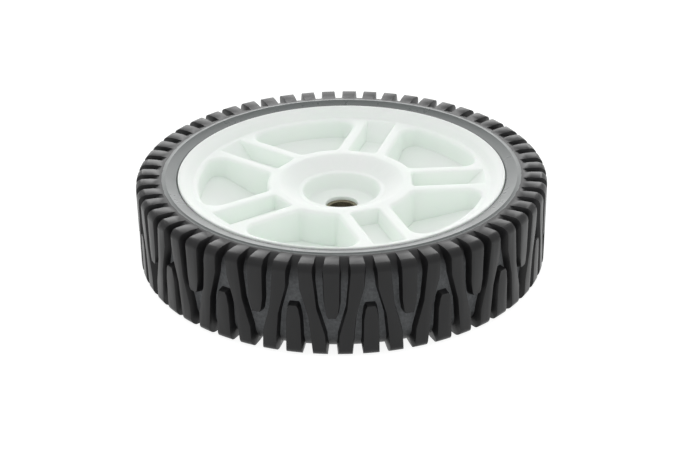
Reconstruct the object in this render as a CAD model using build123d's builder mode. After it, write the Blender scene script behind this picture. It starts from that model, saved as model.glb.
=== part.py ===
from build123d import *
import os

# Lawn mower wheel lying on its inner side, outer face up, in millimetres.
# Z is the axle axis and Z = 0 is the middle of the tread width.

# Tyre section
tyre_diameter = 203.2
tread_width = 46.2
tread_depth = 3.6
sidewall_height = 20.6
groove_corner = 9.4
shoulder_corner = 3.8
shoulder_run = 5.0
shoulder_fall = 0.5
ridge_step = 1.6
ridge_rise = 0.25
bead_land = 1.3
bead_chamfer = 0.8

# Tread blocks, measured on the tread surface
period_count = 18
tread_phase = 7.0
block_draft = 9.0
shoulder_gap = 4.6
shoulder_gap_depth = 6.5
short_shoulder_width = 7.2
short_neck_width = 6.4
short_neck_height = 4.0
short_tip_width = 4.8
short_nose_width = 3.4
short_nose_length = 1.5
short_reach = 2.8
long_knee_offset = 5.5
long_knee_height = 12.0
long_bend_offset = 1.8
long_bend_height = 2.0
long_shoulder_inner = 0.2
long_shoulder_outer = 6.0

# Rim
lip_drop = 1.0
bead_drop = 0.5
lip_flat = 0.8
lip_edge = 0.4
lip_rise = 3.5
lip_land = 4.0
drum_flange = 6.0
drum_wall = 3.5
dish_break_drop = 1.9
dish_slope_run = 3.2
dish_blend = 4.5
dish_foot_blend = 1.5
spoke_drop = 4.4
spoke_count = 5
rib_thickness = 5.7
channel_width = 15.0
channel_depth = 8.6
channel_start = 3.8
channel_margin = 2.2
channel_draft = 8.0
channel_corner = 1.5
channel_edge = 1.2
channel_ramp = 9.0
pocket_start = 5.5
pocket_margin = 2.6
pocket_draft = 5.0
pocket_inner_depth = 17.8
pocket_outer_depth = 9.4
pocket_inner_corner = 3.4
pocket_outer_corner = 7.0
pocket_edge = 2.0
web_thickness = 3.2
hollow_start = 4.0
hollow_margin = 6.0
hollow_width = 19.0

# Hub
hub_drop = 5.5
hub_face_radius = 31.2
hub_edge = 3.0
cone_foot_radius = 21.6
cone_drop = 10.4
cone_wall = 3.6
well_edge_radius = 19.2
well_edge = 1.2
well_radius = 17.4
well_drop = 18.4
well_corner = 2.0
well_wall = 4.0
well_floor = 3.6
hub_radius = 13.0
mouth_chamfer = 0.3

# Bush
bush_bore = 12.7
bush_outside = 15.88
bush_recess = 2.0
bush_chamfer = 0.4

# Room for a cutting shape to overshoot, and for one solid to sink into the next before they fuse
overshoot = 0.5
sink = 0.6

half_width = tread_width / 2
tyre_radius = tyre_diameter / 2
floor_radius = tyre_radius - tread_depth
crest_radius = floor_radius - groove_corner
crest_height = half_width - shoulder_fall
lip_radius = tyre_radius - sidewall_height
lip_height = half_width - lip_drop
drum_radius = lip_radius + drum_flange
drum_inside = drum_radius - drum_wall
drum_height = lip_height - lip_rise
bead_height = lip_height - bead_drop
dish_break_radius = lip_radius - lip_land
dish_foot_radius = dish_break_radius - dish_slope_run
spoke_height = lip_height - spoke_drop
spoke_width = channel_width + rib_thickness * 2
channel_inner_radius = hub_face_radius + channel_start
channel_outer_radius = dish_foot_radius - channel_margin
pocket_inner_radius = hub_face_radius + pocket_start
pocket_outer_radius = dish_foot_radius - pocket_margin
web_slope = (pocket_inner_depth - pocket_outer_depth) / (pocket_outer_radius - pocket_inner_radius)
hub_height = lip_height - hub_drop
cone_height = lip_height - cone_drop
cone_slope = (hub_height - cone_height) / (hub_face_radius - cone_foot_radius)
well_height = lip_height - well_drop
well_outside = well_edge_radius + well_wall
ring_radius = channel_inner_radius - web_thickness
bush_front = well_height - bush_recess
bush_radius = bush_outside / 2
period_angle = 360 / period_count

os.makedirs("parts", exist_ok=True)


def mirrored(points):
    """Upper half of a section, closed by its mirror image below Z = 0."""
    return points + [(radius, -height) for radius, height in reversed(points)]


def tread_plane(angle):
    """Plane just off the tread at an angle around the axle, with X along the tread and Y up."""
    outward = Vector(1, 0, 0).rotate(Axis.Z, angle)
    along = Vector(0, 1, 0).rotate(Axis.Z, angle)
    return Plane(origin=outward * (tyre_radius + overshoot), x_dir=along, z_dir=outward)


def shoulder_plane(angle, side):
    """Plane on one face of the tyre with X along a radius, facing away from the tyre."""
    along = Vector(1, 0, 0).rotate(Axis.Z, angle)
    return Plane(origin=(0, 0, half_width * side), x_dir=along, z_dir=(0, 0, side))


def web_front(radius):
    """Height of the sloping floor of the pockets."""
    return spoke_height - pocket_outer_depth - (pocket_outer_radius - radius) * web_slope


def web_back(radius):
    """Height of the web's rear face, behind the pocket floors."""
    return web_front(radius) - web_thickness


def cone_back(radius):
    """Height of the rear face behind the hub's cone."""
    return cone_height + (radius - cone_foot_radius) * cone_slope - cone_wall


def top_edges(cut_edges):
    """Edges of a cut that lie on the top of the spokes, which falls slightly towards the hub."""
    curved = cut_edges.filter_by(GeomType.LINE, reverse=True)
    return curved.filter_by(lambda edge: edge.center().Z > hub_height - overshoot)


# Ring that trims the tread blocks: rounded shoulders outside, sunk into the carcass inside
trim_points = [
    (floor_radius - sink, crest_height - groove_corner - sink),
    (crest_radius - sink, crest_height - sink / 2),
    (crest_radius + shoulder_run, half_width),
    (tyre_radius, half_width),
]
trim_radii = [0, 0, 0, shoulder_corner]
with BuildPart() as block_trim:
    with BuildSketch(Plane.XZ):
        with BuildLine():
            FilletPolyline(*mirrored(trim_points), radius=trim_radii + trim_radii[::-1], close=True)
        make_face()
    revolve(axis=Axis.Z)

# One period of the tread: a short block from each shoulder and two long bent blocks between them,
# with gaps of one width between the block ends on both shoulders
reach_out = half_width + overshoot
short_side = [
    (short_shoulder_width / 2, reach_out),
    (short_neck_width / 2, short_neck_height),
    (short_tip_width / 2, short_nose_length - short_reach),
    (short_nose_width / 2, -short_reach),
]
short_outline = short_side + [(-along, height) for along, height in reversed(short_side)]
long_side = [
    (-long_shoulder_outer, -reach_out),
    (-long_knee_offset, -long_knee_height),
    (-long_bend_offset, long_bend_height),
    (long_shoulder_inner, reach_out),
]
long_outline = long_side + [(-along, -height) for along, height in long_side]
period = [
    (0, short_outline),
    (period_angle / 4, long_outline),
    (period_angle / 2, [(along, -height) for along, height in short_outline]),
    (period_angle * 3 / 4, [(-along, height) for along, height in long_outline]),
]
gap_pitch = period_angle / 3
gap_angles = [(1, gap_pitch * (place - 0.5)) for place in range(4)]
gap_angles += [(-1, gap_pitch * place) for place in range(4)]
gap_length = tyre_radius + overshoot - crest_radius
block_root = gap_length + sink * 2
with BuildPart() as tread_period:
    for angle, outline in period:
        with BuildSketch(tread_plane(tread_phase + angle)):
            with BuildLine():
                Polyline(*outline, close=True)
            make_face()
        extrude(amount=-block_root, taper=-block_draft)
    add(block_trim.part, mode=Mode.INTERSECT)
    for side, angle in gap_angles:
        with BuildSketch(shoulder_plane(tread_phase + angle, side)):
            with Locations((crest_radius + gap_length / 2, 0)):
                Rectangle(gap_length, shoulder_gap)
        extrude(amount=-shoulder_gap_depth, taper=block_draft, mode=Mode.SUBTRACT)

# Tyre: one moulding whose two beads wrap the ends of the rim's drum
side_points = [
    (crest_radius - ridge_step, crest_height + ridge_rise),
    (crest_radius - ridge_step / 3, crest_height),
    (floor_radius, crest_height),
]
side_radii = [0, 0, groove_corner]
front_bead = [
    (drum_radius, drum_height),
    (lip_radius, drum_height),
    (lip_radius, bead_height - bead_chamfer),
    (lip_radius + bead_chamfer, bead_height),
    (lip_radius + bead_land, bead_height),
]
rear_bead = [
    (drum_inside + bead_land, -bead_height),
    (drum_inside, -bead_height),
    (drum_inside, -drum_height),
    (drum_radius, -drum_height),
]
carcass_points = front_bead + mirrored(side_points) + rear_bead
carcass_radii = [0] * len(front_bead) + side_radii + side_radii[::-1] + [0] * len(rear_bead)
with BuildPart() as tyre:
    with BuildSketch(Plane.XZ):
        with BuildLine():
            FilletPolyline(*carcass_points, radius=carcass_radii, close=True)
        make_face()
    revolve(axis=Axis.Z)
    with PolarLocations(0, period_count):
        add(tread_period.part)
tyre.part.label = "tyre"

# Pockets between the spokes: drafted walls down to a floor that falls towards the hub
with BuildPart() as pocket_cutter:
    with BuildSketch(Plane.XY.offset(spoke_height)) as pockets:
        Circle(pocket_outer_radius)
        Circle(pocket_inner_radius, mode=Mode.SUBTRACT)
        with PolarLocations(0, spoke_count):
            Rectangle(dish_foot_radius, spoke_width, align=(Align.MIN, Align.CENTER), mode=Mode.SUBTRACT)
        corners = pockets.vertices().sort_by(lambda corner: corner.center().length)
        fillet(corners[: spoke_count * 2], pocket_inner_corner)
        corners = pockets.vertices().sort_by(lambda corner: corner.center().length)
        fillet(corners[-spoke_count * 2 :], pocket_outer_corner)
    extrude(amount=-pocket_inner_depth, taper=pocket_draft)
    with BuildSketch(Plane.XZ):
        with BuildLine():
            Polyline(
                (ring_radius, web_front(ring_radius)),
                (dish_foot_radius, web_front(dish_foot_radius)),
                (dish_foot_radius, -half_width),
                (ring_radius, -half_width),
                close=True,
            )
        make_face()
    revolve(axis=Axis.Z, mode=Mode.SUBTRACT)

# Channels along the spokes, whose floors ramp up to the dish at the outer end
channel_floor = spoke_height - channel_depth
channel_length = dish_foot_radius - channel_inner_radius
with BuildPart() as channel_cutter:
    with BuildSketch(Plane.XY.offset(spoke_height)):
        with PolarLocations(channel_inner_radius + channel_length / 2, spoke_count):
            RectangleRounded(channel_length, channel_width, channel_corner)
    extrude(amount=-channel_depth, taper=channel_draft)
    with BuildSketch(Plane.XZ):
        with BuildLine():
            Polyline(
                (channel_outer_radius - channel_ramp, channel_floor),
                (channel_outer_radius, spoke_height),
                (dish_break_radius, spoke_height),
                (dish_break_radius, channel_floor),
                close=True,
            )
        make_face()
    revolve(axis=Axis.Z, mode=Mode.SUBTRACT)

# Rim: one white moulding with a drum for the tyre, a coned web with twin-rib spokes, and the hub
rim_points = [
    (bush_radius, -lip_height),
    (bush_radius, well_height - mouth_chamfer),
    (bush_radius + mouth_chamfer, well_height),
    (well_radius, well_height),
    (well_edge_radius, cone_height),
    (cone_foot_radius, cone_height),
    (hub_face_radius, hub_height),
    (dish_foot_radius, spoke_height),
    (dish_break_radius, lip_height - dish_break_drop),
    (lip_radius - lip_flat, lip_height),
    (lip_radius, lip_height),
    (lip_radius, drum_height),
    (drum_radius, drum_height),
    (drum_radius, -drum_height),
    (drum_inside, -drum_height),
    (drum_inside, drum_height - drum_wall),
    (dish_break_radius, drum_height - drum_wall),
    (dish_foot_radius, web_back(dish_foot_radius)),
    (ring_radius, web_back(ring_radius)),
    (ring_radius, cone_back(ring_radius)),
    (well_outside, cone_back(well_outside)),
    (well_outside, well_height - well_floor),
    (hub_radius, well_height - well_floor),
    (hub_radius, -lip_height),
]
rim_radii = [0, 0, 0, well_corner, well_edge, well_edge, hub_edge, dish_foot_blend, dish_blend, 0, lip_edge]
rim_radii += [0] * (len(rim_points) - len(rim_radii))
with BuildPart() as rim:
    with BuildSketch(Plane.XZ):
        with BuildLine():
            FilletPolyline(*rim_points, radius=rim_radii, close=True)
        make_face()
    revolve(axis=Axis.Z)
    add(pocket_cutter.part, mode=Mode.SUBTRACT)
    fillet(top_edges(rim.edges(Select.LAST)), pocket_edge)
    add(channel_cutter.part, mode=Mode.SUBTRACT)
    # The ramps' own top edges stay sharp
    channel_tops = top_edges(rim.edges(Select.LAST)).filter_by(GeomType.CIRCLE, reverse=True)
    fillet(channel_tops, channel_edge)
    # Hollows behind the spokes, open to the rear
    hollow_inner = ring_radius - hollow_start
    hollow_outer = channel_outer_radius - hollow_margin
    hollow_low = web_back(ring_radius) - overshoot
    hollow_top = channel_floor - web_thickness
    with BuildSketch(Plane.XY.offset(hollow_low)):
        with PolarLocations((hollow_inner + hollow_outer) / 2, spoke_count):
            Rectangle(hollow_outer - hollow_inner, hollow_width)
    extrude(amount=hollow_top - hollow_low, taper=channel_draft, mode=Mode.SUBTRACT)
rim.part.label = "rim"

# Bush: plain sintered sleeve that the axle turns in
with BuildPart() as axle_bush:
    with BuildSketch(Plane.XY.offset(-lip_height)):
        Circle(bush_radius)
        Circle(bush_bore / 2, mode=Mode.SUBTRACT)
    extrude(amount=bush_front + lip_height)
    bore_ends = axle_bush.edges().filter_by(GeomType.CIRCLE).sort_by(lambda edge: edge.radius)[:2]
    chamfer(bore_ends, bush_chamfer)
axle_bush.part.label = "axle_bush"

export_step(tyre.part, "parts/tyre.step")
export_step(rim.part, "parts/rim.step")
export_step(axle_bush.part, "parts/axle_bush.step")
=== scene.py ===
import bpy
from math import radians
from mathutils import Euler, Matrix, Vector


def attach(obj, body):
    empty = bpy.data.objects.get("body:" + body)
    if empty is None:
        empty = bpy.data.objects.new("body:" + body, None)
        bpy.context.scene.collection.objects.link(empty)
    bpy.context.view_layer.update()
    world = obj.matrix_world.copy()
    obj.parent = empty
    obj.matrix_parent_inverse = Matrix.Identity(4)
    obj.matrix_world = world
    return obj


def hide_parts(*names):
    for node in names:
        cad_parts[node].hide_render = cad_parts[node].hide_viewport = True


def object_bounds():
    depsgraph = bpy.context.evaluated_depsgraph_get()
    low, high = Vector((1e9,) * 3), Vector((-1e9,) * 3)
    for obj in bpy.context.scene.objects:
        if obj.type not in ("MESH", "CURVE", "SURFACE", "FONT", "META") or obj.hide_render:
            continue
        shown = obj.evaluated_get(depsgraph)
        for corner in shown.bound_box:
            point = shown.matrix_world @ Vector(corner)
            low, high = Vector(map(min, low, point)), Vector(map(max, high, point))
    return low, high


# Push mower wheel: lugged rubber tyre, white moulded rim, plain bearing bush
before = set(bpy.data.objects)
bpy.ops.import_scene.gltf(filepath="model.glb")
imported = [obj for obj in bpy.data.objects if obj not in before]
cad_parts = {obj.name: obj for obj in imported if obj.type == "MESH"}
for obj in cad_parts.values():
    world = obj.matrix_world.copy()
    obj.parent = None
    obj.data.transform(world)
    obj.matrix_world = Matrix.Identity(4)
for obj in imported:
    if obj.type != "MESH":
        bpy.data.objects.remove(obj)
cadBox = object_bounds()
mm = 0.001  # settings of the wheel and of the view are in millimetres, those of the stage in metres
noiseSpan = {"From Min": 0.3, "From Max": 0.7}  # where most of a noise's values lie
print("frame loaded:", sorted(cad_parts))


def hexToLinear(text):
    parts = [int(text[i:i + 2], 16) / 255 for i in (1, 3, 5)]
    linear = [c / 12.92 if c <= 0.04045 else ((c + 0.055) / 1.055) ** 2.4 for c in parts]
    return (*linear, 1.0)


def addNode(tree, kind, settings=None, links=None):
    # a socket goes by its name or number: on a colour Mix, 0 is the factor, 6 and 7 are the two colours
    node = tree.nodes.new(kind)
    for name, value in (settings or {}).items():
        if isinstance(name, int) or name in node.inputs:
            node.inputs[name].default_value = value
        else:
            setattr(node, name, value)
    for name, socket in (links or {}).items():
        tree.links.new(socket, node.inputs[name])
    return node


def newMaterial(name):
    material = bpy.data.materials.new(name)
    material.use_nodes = True
    material.node_tree.nodes.clear()
    return material, material.node_tree


def selectOnly(piece):
    bpy.ops.object.select_all(action="DESELECT")
    bpy.context.view_layer.objects.active = piece
    piece.select_set(True)


def mouldedCopy(nodeName, pieceName, soft):
    # the CAD shape with its sharp arrises rounded as a mould leaves them
    piece = bpy.data.objects.new(pieceName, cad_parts[nodeName].data.copy())
    bpy.context.scene.collection.objects.link(piece)
    selectOnly(piece)
    bpy.ops.object.mode_set(mode="EDIT")
    bpy.ops.mesh.select_all(action="SELECT")
    bpy.ops.mesh.remove_doubles(threshold=soft["weld"] * mm)
    bpy.ops.mesh.customdata_custom_splitnormals_clear()
    bpy.ops.mesh.dissolve_limited(angle_limit=radians(soft["flatAngle"]))
    bpy.ops.object.mode_set(mode="OBJECT")
    rounding = piece.modifiers.new("rounding", "BEVEL")
    rounding.width = soft["edge"] * mm
    rounding.segments = soft["segments"]
    rounding.limit_method = "ANGLE"
    rounding.angle_limit = radians(soft["sharpAngle"])
    rounding.miter_outer = "MITER_ARC"
    bpy.ops.object.modifier_apply(modifier=rounding.name)
    bpy.ops.object.shade_smooth_by_angle(angle=radians(soft["smoothAngle"]))
    triangles = sum(len(face.vertices) - 2 for face in piece.data.polygons)
    print(pieceName, "has", triangles, "triangles")
    return piece


def dress(piece, material):
    piece.data.materials.clear()
    piece.data.materials.append(material)


# Carbon black rubber, moulded: the blocks are near black with a satin sheen that lightens at a glance,
# groove floors are a lighter grey with fine specks that turns to the darker block colour towards the
# shoulders, and the ring beside the rim is painted a lighter grey for its sheen and is glossier
tyreLook = {
    "blockHex": "#1b1b1c",
    "blockLightHex": "#232324",
    "greyFloorHex": "#5c5e60",
    "greyFloorLightHex": "#77797b",
    "blockRoughness": 0.36,
    "greyFloorRoughness": 0.5,
    # the ring's lighter grey is a painted sheen
    "ringPaintedSheenHex": "#525857",
    "ringRoughness": 0.3,
    "ringRadius": 88.9,
    "roughnessSway": 0.045,
    "mottleSize": 14.0,
    "mottleDetail": 4.0,
    "speckSize": 1.6,
    "speckDetail": 3.0,
    "patchiness": 0.6,
    "grainSize": 0.7,
    "grainDetail": 2.0,
    "grainDepth": 0.03,
    "grainStrength": 0.5,
    "gloss": 0.32,
    "ringGloss": 0.5,
    "floorRadius": 98.6,
    "fadeStart": 11.0,
    "fadeEnd": 20.0,
    "wallTurn": 0.45,
}


def markMould(piece, look):
    # the lighter-grey floor mark is 1 on groove floors and fades out at their ends towards the
    # shoulders, ring is 1 beside the rim
    mesh = piece.data
    greyFloor = mesh.attributes.new("greyFloor", "FLOAT", "CORNER")
    ring = mesh.attributes.new("ring", "FLOAT", "CORNER")
    for face in mesh.polygons:
        radial = Vector((face.center.x, face.center.y, 0.0))
        reach = radial.length
        radial.normalize()
        sideways = abs(face.normal.x * radial.y - face.normal.y * radial.x)
        floor = reach < look["floorRadius"] * mm and sideways < look["wallTurn"]
        inside = 1.0 if reach < look["ringRadius"] * mm else 0.0
        for corner, vertex in zip(face.loop_indices, face.vertices):
            height = abs(mesh.vertices[vertex].co.z) / mm
            # the lighter floor grey fades out between fadeStart and fadeEnd off the mid-plane, so floors
            # are darker towards the shoulders
            fade = (look["fadeEnd"] - height) / (look["fadeEnd"] - look["fadeStart"])
            greyFloor.data[corner].value = min(max(fade, 0.0), 1.0) if floor else 0.0
            ring.data[corner].value = inside


def mouldedRubber(look):
    material, tree = newMaterial("mouldedRubber")
    place = addNode(tree, "ShaderNodeTexCoord").outputs["Object"]
    greyFloor = addNode(tree, "ShaderNodeAttribute", {"attribute_name": "greyFloor"}).outputs["Fac"]
    ring = addNode(tree, "ShaderNodeAttribute", {"attribute_name": "ring"}).outputs["Fac"]
    mottle = addNode(tree, "ShaderNodeTexNoise",
                     {"Scale": 1 / (look["mottleSize"] * mm), "Detail": look["mottleDetail"],
                      "Roughness": look["patchiness"]},
                     {"Vector": place}).outputs["Fac"]
    speck = addNode(tree, "ShaderNodeTexNoise",
                    {"Scale": 1 / (look["speckSize"] * mm), "Detail": look["speckDetail"],
                     "Roughness": look["patchiness"]},
                    {"Vector": place}).outputs["Fac"]
    grain = addNode(tree, "ShaderNodeTexNoise",
                    {"Scale": 1 / (look["grainSize"] * mm), "Detail": look["grainDetail"]},
                    {"Vector": place}).outputs["Fac"]
    patch = addNode(tree, "ShaderNodeMapRange", noiseSpan, {"Value": mottle})
    fleck = addNode(tree, "ShaderNodeMapRange", noiseSpan, {"Value": speck})
    block = addNode(tree, "ShaderNodeMix",
                    {"data_type": "RGBA", 6: hexToLinear(look["blockHex"]),
                     7: hexToLinear(look["blockLightHex"])}, {0: patch.outputs["Result"]})
    greyFloorColour = addNode(tree, "ShaderNodeMix",
                  {"data_type": "RGBA", 6: hexToLinear(look["greyFloorHex"]),
                   7: hexToLinear(look["greyFloorLightHex"])}, {0: fleck.outputs["Result"]})
    tread = addNode(tree, "ShaderNodeMix", {"data_type": "RGBA"},
                    {0: greyFloor, 6: block.outputs[2], 7: greyFloorColour.outputs[2]})
    # painted sheen: the ring beside the rim takes a lighter grey
    colour = addNode(tree, "ShaderNodeMix", {"data_type": "RGBA", 7: hexToLinear(look["ringPaintedSheenHex"])},
                     {0: ring, 6: tread.outputs[2]})
    treadRough = addNode(tree, "ShaderNodeMapRange",
                         {"To Min": look["blockRoughness"], "To Max": look["greyFloorRoughness"]},
                         {"Value": greyFloor})
    base = addNode(tree, "ShaderNodeMapRange", {"To Max": look["ringRoughness"]},
                   {"Value": ring, "To Min": treadRough.outputs["Result"]})
    gloss = addNode(tree, "ShaderNodeMapRange", {"To Min": look["gloss"], "To Max": look["ringGloss"]},
                    {"Value": ring})
    uneven = addNode(tree, "ShaderNodeMapRange",
                     {**noiseSpan, "To Min": -look["roughnessSway"], "To Max": look["roughnessSway"]},
                     {"Value": mottle})
    rough = addNode(tree, "ShaderNodeMath", {"operation": "ADD"},
                    {0: base.outputs["Result"], 1: uneven.outputs["Result"]})
    bump = addNode(tree, "ShaderNodeBump",
                   {"Strength": look["grainStrength"], "Distance": look["grainDepth"] * mm},
                   {"Height": grain})
    shader = addNode(tree, "ShaderNodeBsdfPrincipled",
                     links={"Base Color": colour.outputs[2], "Roughness": rough.outputs["Value"],
                            "Specular IOR Level": gloss.outputs["Result"],
                            "Normal": bump.outputs["Normal"]})
    addNode(tree, "ShaderNodeOutputMaterial", links={"Surface": shader.outputs["BSDF"]})
    return material


tyreSoft = {"weld": 0.001, "flatAngle": 0.5, "edge": 0.5, "segments": 2, "sharpAngle": 32,
            "smoothAngle": 24}
tyre = mouldedCopy("tyre", "tyreMoulding", tyreSoft)
markMould(tyre, tyreLook)
dress(tyre, mouldedRubber(tyreLook))
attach(tyre, "root")
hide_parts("tyre")
print("tyre done")

# White polypropylene, moulded: satin and a little milky, so hollows stay bright with a faint green tint
rimLook = {
    "faceHex": "#f5fdf6",
    "tintHex": "#f2fcf4",
    "roughness": 0.5,
    "roughnessSway": 0.045,
    "gloss": 0.22,
    "flowSize": 26.0,
    "flowDetail": 3.0,
    "grainSize": 0.9,
    "grainDetail": 2.0,
    "grainDepth": 0.012,
    "grainStrength": 0.4,
    "milkDepth": 4.0,
    "milkShare": 0.6,
    "milkSpread": (0.9, 1.0, 0.9),
}


def mouldedPolypropylene(look):
    material, tree = newMaterial("mouldedPolypropylene")
    place = addNode(tree, "ShaderNodeTexCoord").outputs["Object"]
    flow = addNode(tree, "ShaderNodeTexNoise",
                   {"Scale": 1 / (look["flowSize"] * mm), "Detail": look["flowDetail"]},
                   {"Vector": place}).outputs["Fac"]
    grain = addNode(tree, "ShaderNodeTexNoise",
                    {"Scale": 1 / (look["grainSize"] * mm), "Detail": look["grainDetail"]},
                    {"Vector": place}).outputs["Fac"]
    cloud = addNode(tree, "ShaderNodeMapRange", noiseSpan, {"Value": flow})
    colour = addNode(tree, "ShaderNodeMix",
                     {"data_type": "RGBA", 6: hexToLinear(look["tintHex"]),
                      7: hexToLinear(look["faceHex"])}, {0: cloud.outputs["Result"]})
    rough = addNode(tree, "ShaderNodeMapRange",
                    {**noiseSpan, "To Min": look["roughness"] - look["roughnessSway"],
                     "To Max": look["roughness"] + look["roughnessSway"]}, {"Value": flow})
    bump = addNode(tree, "ShaderNodeBump",
                   {"Strength": look["grainStrength"], "Distance": look["grainDepth"] * mm},
                   {"Height": grain})
    shader = addNode(tree, "ShaderNodeBsdfPrincipled",
                     {"Specular IOR Level": look["gloss"], "Subsurface Weight": look["milkShare"],
                      "Subsurface Scale": look["milkDepth"] * mm,
                      "Subsurface Radius": look["milkSpread"]},
                     {"Base Color": colour.outputs[2], "Roughness": rough.outputs["Result"],
                      "Normal": bump.outputs["Normal"]})
    addNode(tree, "ShaderNodeOutputMaterial", links={"Surface": shader.outputs["BSDF"]})
    return material


rimSoft = {"weld": 0.001, "flatAngle": 0.5, "edge": 1.2, "segments": 4, "sharpAngle": 32,
           "smoothAngle": 40}
rim = mouldedCopy("rim", "rimMoulding", rimSoft)
dress(rim, mouldedPolypropylene(rimLook))
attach(rim, "root")
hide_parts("rim")
print("rim done")

# Oil-soaked sintered bronze: dull olive brown metal with fine pores
bushLook = {
    "metalHex": "#9b9681",
    "oilHex": "#77725f",
    "metalShare": 0.9,
    "roughness": 0.5,
    "poreSize": 0.6,
    "poreDetail": 4.0,
    "poreDepth": 0.02,
    "poreStrength": 0.6,
}


def sinteredBronze(look):
    material, tree = newMaterial("sinteredBronze")
    place = addNode(tree, "ShaderNodeTexCoord").outputs["Object"]
    pores = addNode(tree, "ShaderNodeTexNoise",
                    {"Scale": 1 / (look["poreSize"] * mm), "Detail": look["poreDetail"]},
                    {"Vector": place}).outputs["Fac"]
    oil = addNode(tree, "ShaderNodeMapRange", noiseSpan, {"Value": pores})
    colour = addNode(tree, "ShaderNodeMix",
                     {"data_type": "RGBA", 6: hexToLinear(look["oilHex"]),
                      7: hexToLinear(look["metalHex"])}, {0: oil.outputs["Result"]})
    bump = addNode(tree, "ShaderNodeBump",
                   {"Strength": look["poreStrength"], "Distance": look["poreDepth"] * mm},
                   {"Height": pores})
    shader = addNode(tree, "ShaderNodeBsdfPrincipled",
                     {"Metallic": look["metalShare"], "Roughness": look["roughness"]},
                     {"Base Color": colour.outputs[2], "Normal": bump.outputs["Normal"]})
    addNode(tree, "ShaderNodeOutputMaterial", links={"Surface": shader.outputs["BSDF"]})
    return material


dress(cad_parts["axle_bush"], sinteredBronze(bushLook))
print("bush done")

# Photographer's white table with a bright backdrop, a slightly dimmer room behind the camera, a soft box
# above and a larger one low behind the wheel
stageLook = {"floorHex": "#959796", "floorGlow": 0.88, "floorSize": 12.0,
             "roomHex": "#ffffff", "backLight": 0.84, "frontLight": 0.8, "mirrorLight": 0.8,
             "frontTurn": -0.7, "backTurn": 0.2}
tableTop = cadBox[0].z
bpy.ops.object.select_all(action="DESELECT")
bpy.ops.mesh.primitive_plane_add(size=stageLook["floorSize"], location=(0, 0, tableTop))
table = bpy.context.active_object
table.name = "whiteTable"
material, tree = newMaterial("whiteTablePaper")
ray = addNode(tree, "ShaderNodeLightPath").outputs
paper = addNode(tree, "ShaderNodeBsdfDiffuse", {"Color": hexToLinear(stageLook["floorHex"])})
mirrored = addNode(tree, "ShaderNodeMath", {"operation": "MAXIMUM"},
                   {0: ray["Is Glossy Ray"], 1: ray["Is Transmission Ray"]})
seen = addNode(tree, "ShaderNodeMath", {"operation": "MAXIMUM"},
               {0: ray["Is Camera Ray"], 1: mirrored.outputs["Value"]})
strength = addNode(tree, "ShaderNodeMath", {"operation": "MULTIPLY", 1: stageLook["floorGlow"]},
                   {0: seen.outputs["Value"]})
glow = addNode(tree, "ShaderNodeEmission", links={"Strength": strength.outputs["Value"]})
both = addNode(tree, "ShaderNodeAddShader",
               links={0: paper.outputs["BSDF"], 1: glow.outputs["Emission"]})
addNode(tree, "ShaderNodeOutputMaterial", links={"Surface": both.outputs["Shader"]})
dress(table, material)

world = bpy.data.worlds.new("photoRoom")
bpy.context.scene.world = world
world.use_nodes = True
tree = world.node_tree
tree.nodes.clear()
ray = addNode(tree, "ShaderNodeLightPath").outputs
toward = addNode(tree, "ShaderNodeTexCoord").outputs["Generated"]
split = addNode(tree, "ShaderNodeSeparateXYZ", links={"Vector": toward})
mirrored = addNode(tree, "ShaderNodeMath", {"operation": "MAXIMUM"},
                   {0: ray["Is Glossy Ray"], 1: ray["Is Transmission Ray"]})
backdrop = addNode(tree, "ShaderNodeMapRange",
                   {"To Min": stageLook["backLight"], "To Max": stageLook["mirrorLight"]},
                   {"Value": mirrored.outputs["Value"]})
shade = addNode(tree, "ShaderNodeMapRange",
                {"interpolation_type": "SMOOTHSTEP", "From Min": stageLook["frontTurn"],
                 "From Max": stageLook["backTurn"], "To Min": stageLook["frontLight"]},
                {"Value": split.outputs["Y"], "To Max": backdrop.outputs["Result"]})
level = addNode(tree, "ShaderNodeMath", {"operation": "MAXIMUM"},
                {0: ray["Is Camera Ray"], 1: shade.outputs["Result"]})
room = addNode(tree, "ShaderNodeBackground", {"Color": hexToLinear(stageLook["roomHex"])},
               {"Strength": level.outputs["Value"]})
addNode(tree, "ShaderNodeOutputWorld", links={"Surface": room.outputs["Background"]})

lamps = {
    "topBox": {"place": (0.0, 0.5, 1.4), "size": (1.4, 1.0), "power": 1.0},
    "backBox": {"place": (0.0, 1.92, 0.56), "size": (1.6, 1.15), "power": 12.0},
}
for name, lamp in lamps.items():
    bpy.ops.object.select_all(action="DESELECT")
    bpy.ops.object.light_add(type="AREA", location=lamp["place"])
    light = bpy.context.active_object
    light.name = name
    light.rotation_euler = Vector(lamp["place"]).to_track_quat("Z", "Y").to_euler()
    light.data.shape = "RECTANGLE"
    light.data.size, light.data.size_y = lamp["size"]
    light.data.energy = lamp["power"]
print("stage and lamps done")

# Camera at the photograph's distance and angle
view = {
    "distance": 800.0, "elevation": 27.68, "roll": -0.92, "aim": (-1.07, 0.0, -9.45),
    "focalPixels": 1582.1, "imageWidth": 680, "sensorWidth": 36.0, "farClip": 100.0,
}
bpy.ops.object.select_all(action="DESELECT")
bpy.ops.object.camera_add()
camera = bpy.context.active_object
tilt = Euler((radians(90 - view["elevation"]), 0, 0)).to_matrix()
turn = tilt @ Matrix.Rotation(radians(view["roll"]), 3, "Z")
camera.location = Vector(view["aim"]) * mm + turn @ Vector((0, 0, view["distance"] * mm))
camera.rotation_euler = turn.to_euler()
camera.data.sensor_width = view["sensorWidth"]
camera.data.lens = view["focalPixels"] / view["imageWidth"] * camera.data.sensor_width
camera.data.clip_end = view["farClip"]
scene = bpy.context.scene
scene.camera = camera
scene.view_settings.view_transform = "Standard"
print("camera done")
